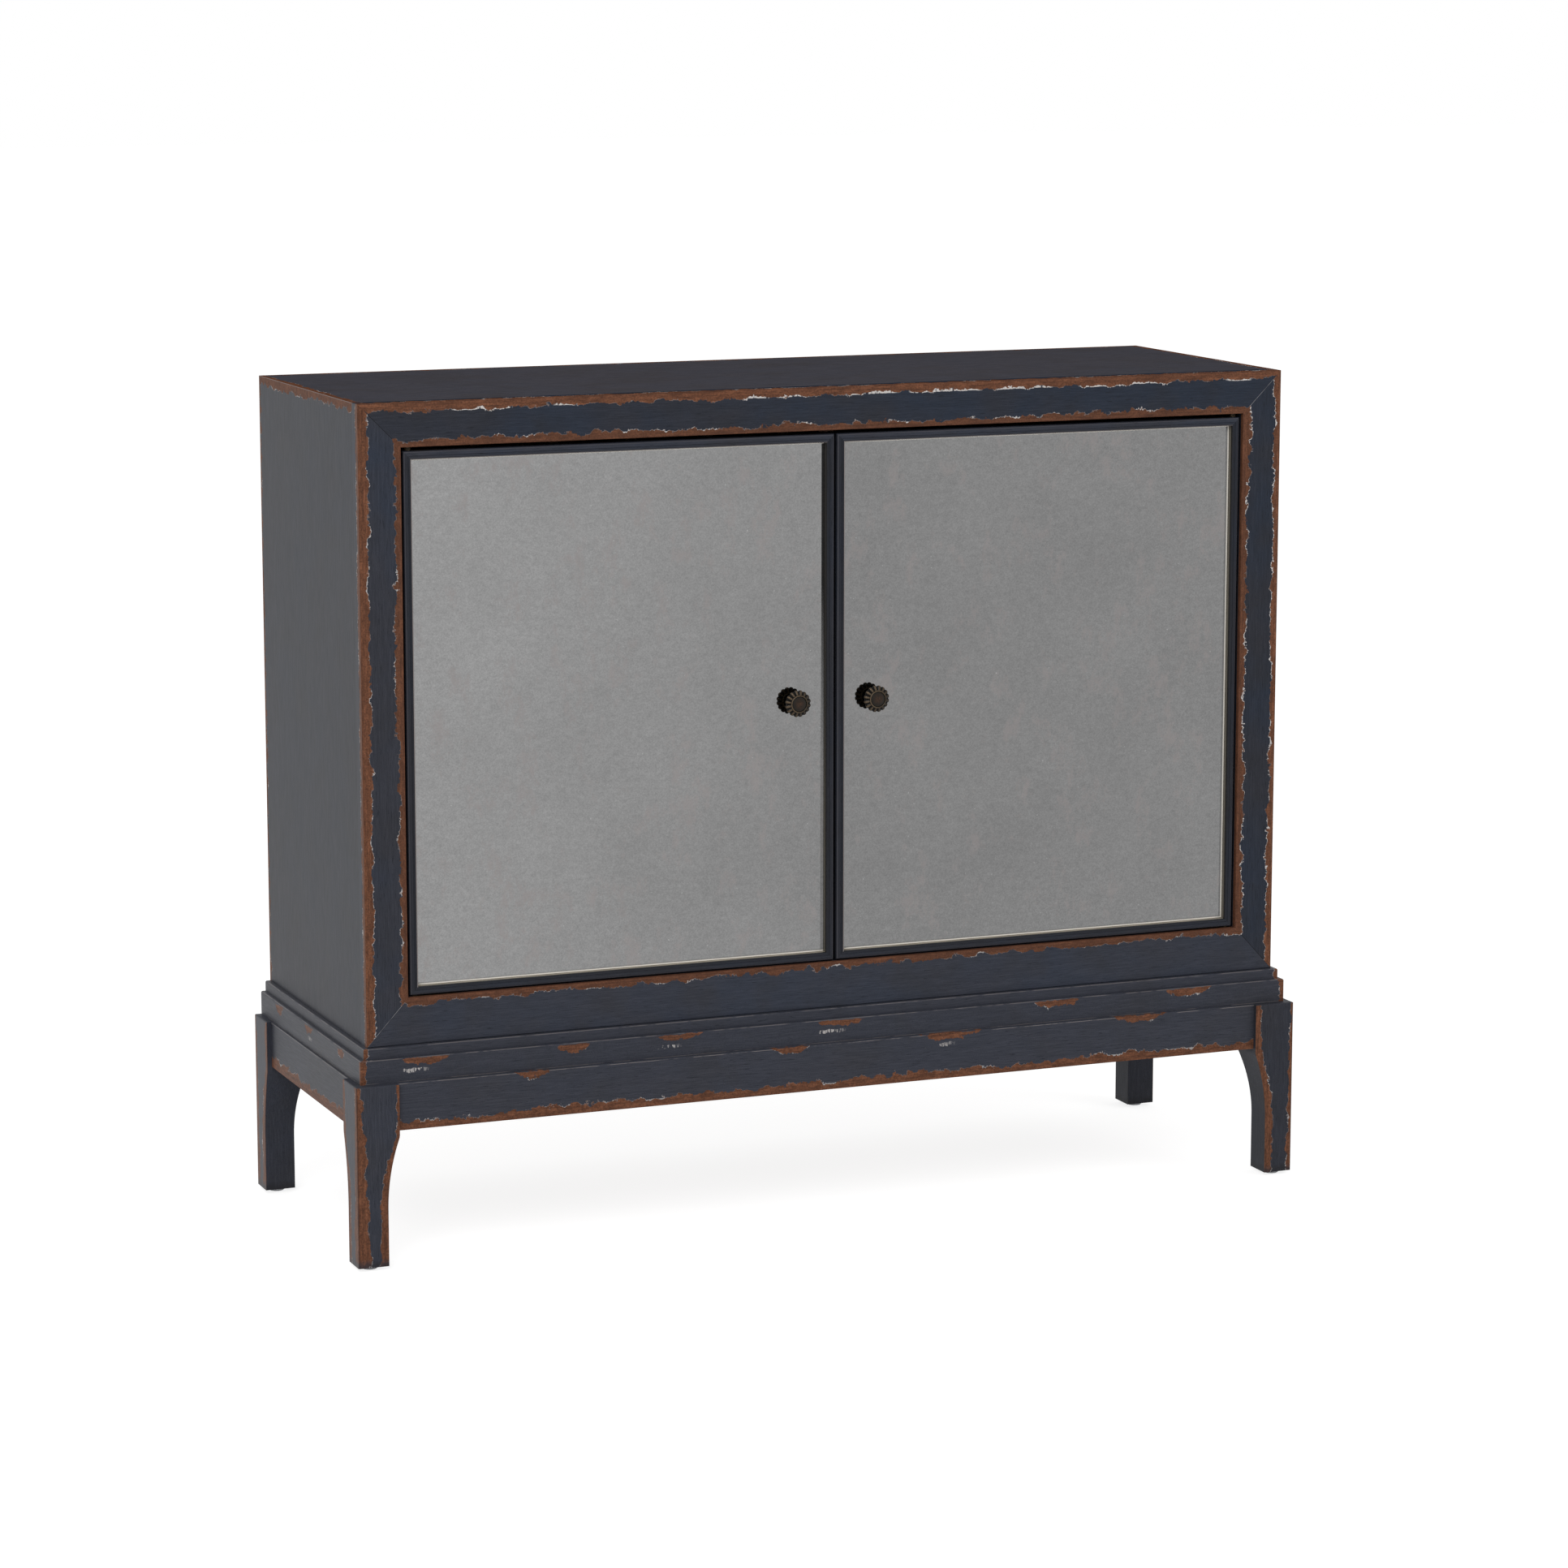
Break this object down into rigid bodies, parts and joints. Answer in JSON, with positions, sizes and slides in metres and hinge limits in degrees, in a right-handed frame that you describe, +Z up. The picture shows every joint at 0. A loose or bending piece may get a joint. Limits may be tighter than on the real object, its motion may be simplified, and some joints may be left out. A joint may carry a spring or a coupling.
{
  "type": "bar cabinet",
  "caption": "Bar cabinet with mirrored doors inset in a mitred face frame, stepped base moulding and curved square legs; shelves, a stemware rack and bottle cradles inside.",
  "frame": {"origin": "on the floor, below the middle of the cabinet's outline", "axes": "+X across the width, to the right as seen from the front; +Y from the doors to the back; +Z up"},
  "size_m": [1.168, 0.406, 0.965],
  "materials": {
    "navy_paint": "rubbed satin paint, worn to the wood at the edges",
    "stained_wood": "stained, satin lacquer",
    "mirror_glass": "aged silvering",
    "dark_bronze": "oil-rubbed, rubbed bright on the high points",
    "zinc_steel": "zinc plated",
    "brown_plastic": "moulded",
    "grey_nylon": "moulded",
    "clear_rubber": "soft"
  },
  "bodies": {
    "case": {"top_panel": "navy_paint", "left_side_panel": "navy_paint", "right_side_panel": "navy_paint", "bottom_panel": "stained_wood", "back_panel": "stained_wood", "back_panel_screws": "zinc_steel", "face_top_rail": "navy_paint", "face_bottom_rail": "navy_paint", "face_left_stile": "navy_paint", "face_right_stile": "navy_paint", "centre_partition": "stained_wood", "left_shelf": "stained_wood", "right_shelf": "stained_wood", "shelf_pins": "zinc_steel", "stemware_battens": "stained_wood", "stemware_rails": "stained_wood", "neck_cradle": "stained_wood", "body_cradle": "stained_wood", "base_moulding_front": "navy_paint", "base_moulding_left": "navy_paint", "base_moulding_right": "navy_paint", "base_rear_rail": "navy_paint", "front_apron": "navy_paint", "rear_apron": "navy_paint", "left_apron": "navy_paint", "right_apron": "navy_paint", "front_left_leg": "navy_paint", "front_right_leg": "navy_paint", "rear_left_leg": "navy_paint", "rear_right_leg": "navy_paint", "leg_glides": "grey_nylon", "corner_blocks": "stained_wood", "leg_bolts": "zinc_steel", "leg_nuts": "zinc_steel", "frame_hinge_leaves": "dark_bronze", "hinge_washers": "dark_bronze", "catch_housings": "brown_plastic", "catch_magnets": "zinc_steel"},
    "left_door": {"left_door_board": "navy_paint", "left_mirror": "mirror_glass", "left_door_top_rail": "navy_paint", "left_door_bottom_rail": "navy_paint", "left_door_hinge_stile": "navy_paint", "left_door_meeting_stile": "navy_paint", "left_knob": "dark_bronze", "left_knob_screw": "zinc_steel", "left_door_hinge_leaves": "dark_bronze", "left_catch_plate": "zinc_steel", "left_bumpers": "clear_rubber"},
    "right_door": {"right_door_board": "navy_paint", "right_mirror": "mirror_glass", "right_door_top_rail": "navy_paint", "right_door_bottom_rail": "navy_paint", "right_door_hinge_stile": "navy_paint", "right_door_meeting_stile": "navy_paint", "right_knob": "dark_bronze", "right_knob_screw": "zinc_steel", "right_door_hinge_leaves": "dark_bronze", "right_catch_plate": "zinc_steel", "right_bumpers": "clear_rubber"}
  },
  "joints": [
    {"name": "left_door_hinge", "type": "hinge", "parent": "case", "child": "left_door", "pos_m": [-0.505, -0.172, 0.608], "axis": [0, 0, -1], "range_deg": [0, 105]},
    {"name": "right_door_hinge", "type": "hinge", "parent": "case", "child": "right_door", "pos_m": [0.505, -0.172, 0.608], "axis": [0, 0, 1], "range_deg": [0, 105]}
  ]
}
